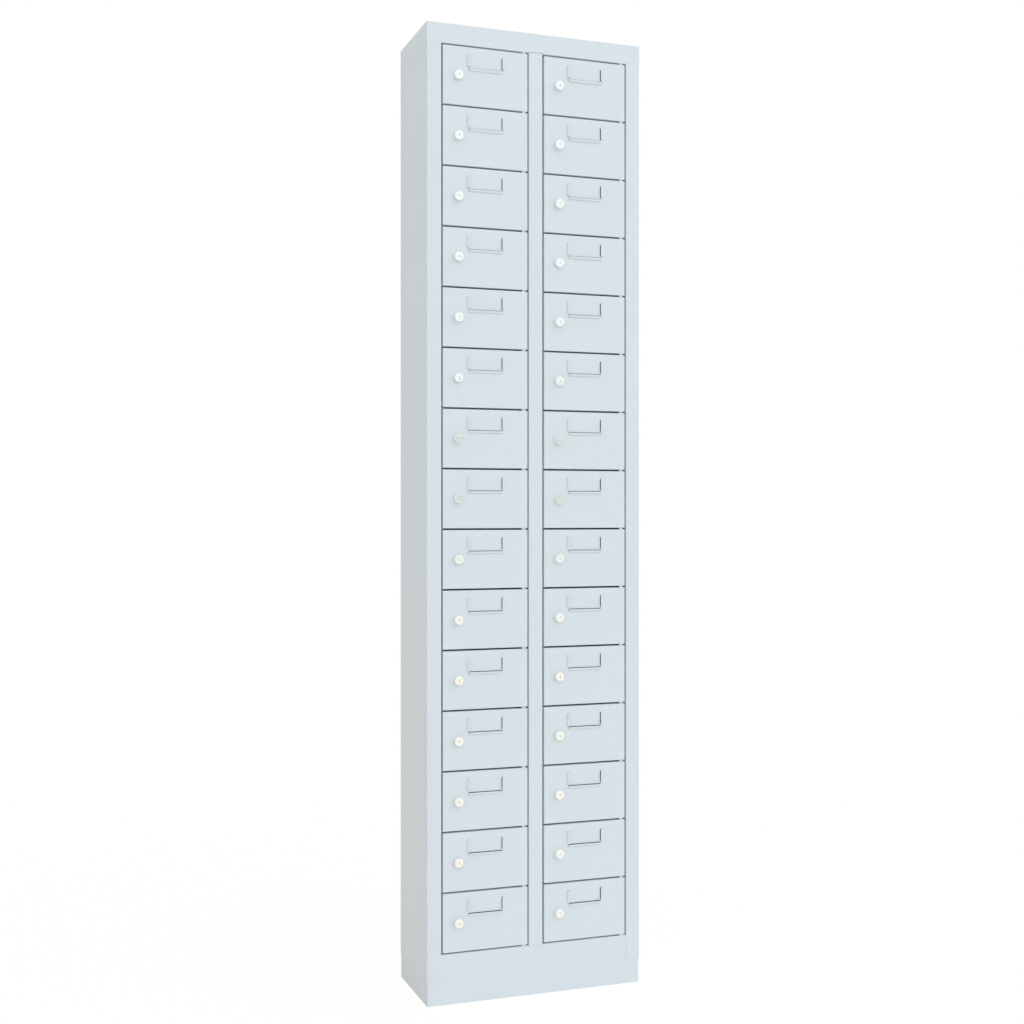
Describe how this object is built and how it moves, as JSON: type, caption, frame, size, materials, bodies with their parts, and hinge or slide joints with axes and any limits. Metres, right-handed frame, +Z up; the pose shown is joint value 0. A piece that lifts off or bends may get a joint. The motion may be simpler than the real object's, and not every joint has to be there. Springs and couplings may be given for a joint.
{
  "type": "phone locker",
  "caption": "Tall, narrow sheet-steel cabinet of small locker doors in two columns, each with a cam lock and a label holder, for keeping mobile phones.",
  "frame": {"origin": "on the floor, under the middle of the whole object with its lock heads", "axes": "+X to the right of a person who faces the doors, +Y to the back, +Z up"},
  "size_m": [0.46, 0.209, 1.95],
  "materials": {
    "cabinet_paint": "satin powder coat, light blue-grey",
    "door_paint": "satin powder coat, light blue-grey",
    "steel": "bright zinc"
  },
  "bodies": {
    "cabinet": {"left_side_panel": "cabinet_paint", "right_side_panel": "cabinet_paint", "top_panel": "cabinet_paint", "back_panel": "cabinet_paint", "centre_partition": "cabinet_paint", "front_mullion": "cabinet_paint", "base_plinth": "cabinet_paint", "floor_panel": "cabinet_paint", "shelves_left": "cabinet_paint", "shelves_right": "cabinet_paint", "hinge_rods": "steel", "rod_feet": "cabinet_paint"},
    "door_left_01": {"door_left_01": "door_paint"},
    "door_left_02": {"door_left_02": "door_paint"},
    "door_left_03": {"door_left_03": "door_paint"},
    "door_left_04": {"door_left_04": "door_paint"},
    "door_left_05": {"door_left_05": "door_paint"},
    "door_left_06": {"door_left_06": "door_paint"},
    "door_left_07": {"door_left_07": "door_paint"},
    "door_left_08": {"door_left_08": "door_paint"},
    "door_left_09": {"door_left_09": "door_paint"},
    "door_left_10": {"door_left_10": "door_paint"},
    "door_left_11": {"door_left_11": "door_paint"},
    "door_left_12": {"door_left_12": "door_paint"},
    "door_left_13": {"door_left_13": "door_paint"},
    "door_left_14": {"door_left_14": "door_paint"},
    "door_left_15": {"door_left_15": "door_paint"},
    "door_right_01": {"door_right_01": "door_paint"},
    "door_right_02": {"door_right_02": "door_paint"},
    "door_right_03": {"door_right_03": "door_paint"},
    "door_right_04": {"door_right_04": "door_paint"},
    "door_right_05": {"door_right_05": "door_paint"},
    "door_right_06": {"door_right_06": "door_paint"},
    "door_right_07": {"door_right_07": "door_paint"},
    "door_right_08": {"door_right_08": "door_paint"},
    "door_right_09": {"door_right_09": "door_paint"},
    "door_right_10": {"door_right_10": "door_paint"},
    "door_right_11": {"door_right_11": "door_paint"},
    "door_right_12": {"door_right_12": "door_paint"},
    "door_right_13": {"door_right_13": "door_paint"},
    "door_right_14": {"door_right_14": "door_paint"},
    "door_right_15": {"door_right_15": "door_paint"},
    "lock_cam_left_01": {"lock_cam_left_01": "steel"},
    "lock_cam_left_02": {"lock_cam_left_02": "steel"},
    "lock_cam_left_03": {"lock_cam_left_03": "steel"},
    "lock_cam_left_04": {"lock_cam_left_04": "steel"},
    "lock_cam_left_05": {"lock_cam_left_05": "steel"},
    "lock_cam_left_06": {"lock_cam_left_06": "steel"},
    "lock_cam_left_07": {"lock_cam_left_07": "steel"},
    "lock_cam_left_08": {"lock_cam_left_08": "steel"},
    "lock_cam_left_09": {"lock_cam_left_09": "steel"},
    "lock_cam_left_10": {"lock_cam_left_10": "steel"},
    "lock_cam_left_11": {"lock_cam_left_11": "steel"},
    "lock_cam_left_12": {"lock_cam_left_12": "steel"},
    "lock_cam_left_13": {"lock_cam_left_13": "steel"},
    "lock_cam_left_14": {"lock_cam_left_14": "steel"},
    "lock_cam_left_15": {"lock_cam_left_15": "steel"}
  },
  "joints": [
    {"name": "hinge_left_01", "type": "hinge", "parent": "cabinet", "child": "door_left_01", "pos_m": [-0.0255, -0.091, 1.8485], "axis": [0, 0, 1], "range_deg": [0, 110]},
    {"name": "hinge_left_02", "type": "hinge", "parent": "cabinet", "child": "door_left_02", "pos_m": [-0.0255, -0.091, 1.728], "axis": [0, 0, 1], "range_deg": [0, 110]},
    {"name": "hinge_left_03", "type": "hinge", "parent": "cabinet", "child": "door_left_03", "pos_m": [-0.0255, -0.091, 1.6075], "axis": [0, 0, 1], "range_deg": [0, 110]},
    {"name": "hinge_left_04", "type": "hinge", "parent": "cabinet", "child": "door_left_04", "pos_m": [-0.0255, -0.091, 1.487], "axis": [0, 0, 1], "range_deg": [0, 110]},
    {"name": "hinge_left_05", "type": "hinge", "parent": "cabinet", "child": "door_left_05", "pos_m": [-0.0255, -0.091, 1.3665], "axis": [0, 0, 1], "range_deg": [0, 110]},
    {"name": "hinge_left_06", "type": "hinge", "parent": "cabinet", "child": "door_left_06", "pos_m": [-0.0255, -0.091, 1.246], "axis": [0, 0, 1], "range_deg": [0, 110]},
    {"name": "hinge_left_07", "type": "hinge", "parent": "cabinet", "child": "door_left_07", "pos_m": [-0.0255, -0.091, 1.1255], "axis": [0, 0, 1], "range_deg": [0, 110]},
    {"name": "hinge_left_08", "type": "hinge", "parent": "cabinet", "child": "door_left_08", "pos_m": [-0.0255, -0.091, 1.005], "axis": [0, 0, 1], "range_deg": [0, 110]},
    {"name": "hinge_left_09", "type": "hinge", "parent": "cabinet", "child": "door_left_09", "pos_m": [-0.0255, -0.091, 0.8845], "axis": [0, 0, 1], "range_deg": [0, 110]},
    {"name": "hinge_left_10", "type": "hinge", "parent": "cabinet", "child": "door_left_10", "pos_m": [-0.0255, -0.091, 0.764], "axis": [0, 0, 1], "range_deg": [0, 110]},
    {"name": "hinge_left_11", "type": "hinge", "parent": "cabinet", "child": "door_left_11", "pos_m": [-0.0255, -0.091, 0.6435], "axis": [0, 0, 1], "range_deg": [0, 110]},
    {"name": "hinge_left_12", "type": "hinge", "parent": "cabinet", "child": "door_left_12", "pos_m": [-0.0255, -0.091, 0.523], "axis": [0, 0, 1], "range_deg": [0, 110]},
    {"name": "hinge_left_13", "type": "hinge", "parent": "cabinet", "child": "door_left_13", "pos_m": [-0.0255, -0.091, 0.4025], "axis": [0, 0, 1], "range_deg": [0, 110]},
    {"name": "hinge_left_14", "type": "hinge", "parent": "cabinet", "child": "door_left_14", "pos_m": [-0.0255, -0.091, 0.282], "axis": [0, 0, 1], "range_deg": [0, 110]},
    {"name": "hinge_left_15", "type": "hinge", "parent": "cabinet", "child": "door_left_15", "pos_m": [-0.0255, -0.091, 0.1615], "axis": [0, 0, 1], "range_deg": [0, 110]},
    {"name": "hinge_right_01", "type": "hinge", "parent": "cabinet", "child": "door_right_01", "pos_m": [0.1895, -0.091, 1.8485], "axis": [0, 0, 1], "range_deg": [0, 110]},
    {"name": "hinge_right_02", "type": "hinge", "parent": "cabinet", "child": "door_right_02", "pos_m": [0.1895, -0.091, 1.728], "axis": [0, 0, 1], "range_deg": [0, 110]},
    {"name": "hinge_right_03", "type": "hinge", "parent": "cabinet", "child": "door_right_03", "pos_m": [0.1895, -0.091, 1.6075], "axis": [0, 0, 1], "range_deg": [0, 110]},
    {"name": "hinge_right_04", "type": "hinge", "parent": "cabinet", "child": "door_right_04", "pos_m": [0.1895, -0.091, 1.487], "axis": [0, 0, 1], "range_deg": [0, 110]},
    {"name": "hinge_right_05", "type": "hinge", "parent": "cabinet", "child": "door_right_05", "pos_m": [0.1895, -0.091, 1.3665], "axis": [0, 0, 1], "range_deg": [0, 110]},
    {"name": "hinge_right_06", "type": "hinge", "parent": "cabinet", "child": "door_right_06", "pos_m": [0.1895, -0.091, 1.246], "axis": [0, 0, 1], "range_deg": [0, 110]},
    {"name": "hinge_right_07", "type": "hinge", "parent": "cabinet", "child": "door_right_07", "pos_m": [0.1895, -0.091, 1.1255], "axis": [0, 0, 1], "range_deg": [0, 110]},
    {"name": "hinge_right_08", "type": "hinge", "parent": "cabinet", "child": "door_right_08", "pos_m": [0.1895, -0.091, 1.005], "axis": [0, 0, 1], "range_deg": [0, 110]},
    {"name": "hinge_right_09", "type": "hinge", "parent": "cabinet", "child": "door_right_09", "pos_m": [0.1895, -0.091, 0.8845], "axis": [0, 0, 1], "range_deg": [0, 110]},
    {"name": "hinge_right_10", "type": "hinge", "parent": "cabinet", "child": "door_right_10", "pos_m": [0.1895, -0.091, 0.764], "axis": [0, 0, 1], "range_deg": [0, 110]},
    {"name": "hinge_right_11", "type": "hinge", "parent": "cabinet", "child": "door_right_11", "pos_m": [0.1895, -0.091, 0.6435], "axis": [0, 0, 1], "range_deg": [0, 110]},
    {"name": "hinge_right_12", "type": "hinge", "parent": "cabinet", "child": "door_right_12", "pos_m": [0.1895, -0.091, 0.523], "axis": [0, 0, 1], "range_deg": [0, 110]},
    {"name": "hinge_right_13", "type": "hinge", "parent": "cabinet", "child": "door_right_13", "pos_m": [0.1895, -0.091, 0.4025], "axis": [0, 0, 1], "range_deg": [0, 110]},
    {"name": "hinge_right_14", "type": "hinge", "parent": "cabinet", "child": "door_right_14", "pos_m": [0.1895, -0.091, 0.282], "axis": [0, 0, 1], "range_deg": [0, 110]},
    {"name": "hinge_right_15", "type": "hinge", "parent": "cabinet", "child": "door_right_15", "pos_m": [0.1895, -0.091, 0.1615], "axis": [0, 0, 1], "range_deg": [0, 110]},
    {"name": "lock_left_01", "type": "hinge", "parent": "door_left_01", "child": "lock_cam_left_01", "pos_m": [-0.1655, -0.0765, 1.8485], "axis": [0, 1, 0], "range_deg": [0, 90]},
    {"name": "lock_left_02", "type": "hinge", "parent": "door_left_02", "child": "lock_cam_left_02", "pos_m": [-0.1655, -0.0765, 1.728], "axis": [0, 1, 0], "range_deg": [0, 90]},
    {"name": "lock_left_03", "type": "hinge", "parent": "door_left_03", "child": "lock_cam_left_03", "pos_m": [-0.1655, -0.0765, 1.6075], "axis": [0, 1, 0], "range_deg": [0, 90]},
    {"name": "lock_left_04", "type": "hinge", "parent": "door_left_04", "child": "lock_cam_left_04", "pos_m": [-0.1655, -0.0765, 1.487], "axis": [0, 1, 0], "range_deg": [0, 90]},
    {"name": "lock_left_05", "type": "hinge", "parent": "door_left_05", "child": "lock_cam_left_05", "pos_m": [-0.1655, -0.0765, 1.3665], "axis": [0, 1, 0], "range_deg": [0, 90]},
    {"name": "lock_left_06", "type": "hinge", "parent": "door_left_06", "child": "lock_cam_left_06", "pos_m": [-0.1655, -0.0765, 1.246], "axis": [0, 1, 0], "range_deg": [0, 90]},
    {"name": "lock_left_07", "type": "hinge", "parent": "door_left_07", "child": "lock_cam_left_07", "pos_m": [-0.1655, -0.0765, 1.1255], "axis": [0, 1, 0], "range_deg": [0, 90]},
    {"name": "lock_left_08", "type": "hinge", "parent": "door_left_08", "child": "lock_cam_left_08", "pos_m": [-0.1655, -0.0765, 1.005], "axis": [0, 1, 0], "range_deg": [0, 90]},
    {"name": "lock_left_09", "type": "hinge", "parent": "door_left_09", "child": "lock_cam_left_09", "pos_m": [-0.1655, -0.0765, 0.8845], "axis": [0, 1, 0], "range_deg": [0, 90]},
    {"name": "lock_left_10", "type": "hinge", "parent": "door_left_10", "child": "lock_cam_left_10", "pos_m": [-0.1655, -0.0765, 0.764], "axis": [0, 1, 0], "range_deg": [0, 90]},
    {"name": "lock_left_11", "type": "hinge", "parent": "door_left_11", "child": "lock_cam_left_11", "pos_m": [-0.1655, -0.0765, 0.6435], "axis": [0, 1, 0], "range_deg": [0, 90]},
    {"name": "lock_left_12", "type": "hinge", "parent": "door_left_12", "child": "lock_cam_left_12", "pos_m": [-0.1655, -0.0765, 0.523], "axis": [0, 1, 0], "range_deg": [0, 90]},
    {"name": "lock_left_13", "type": "hinge", "parent": "door_left_13", "child": "lock_cam_left_13", "pos_m": [-0.1655, -0.0765, 0.4025], "axis": [0, 1, 0], "range_deg": [0, 90]},
    {"name": "lock_left_14", "type": "hinge", "parent": "door_left_14", "child": "lock_cam_left_14", "pos_m": [-0.1655, -0.0765, 0.282], "axis": [0, 1, 0], "range_deg": [0, 90]},
    {"name": "lock_left_15", "type": "hinge", "parent": "door_left_15", "child": "lock_cam_left_15", "pos_m": [-0.1655, -0.0765, 0.1615], "axis": [0, 1, 0], "range_deg": [0, 90]}
  ]
}
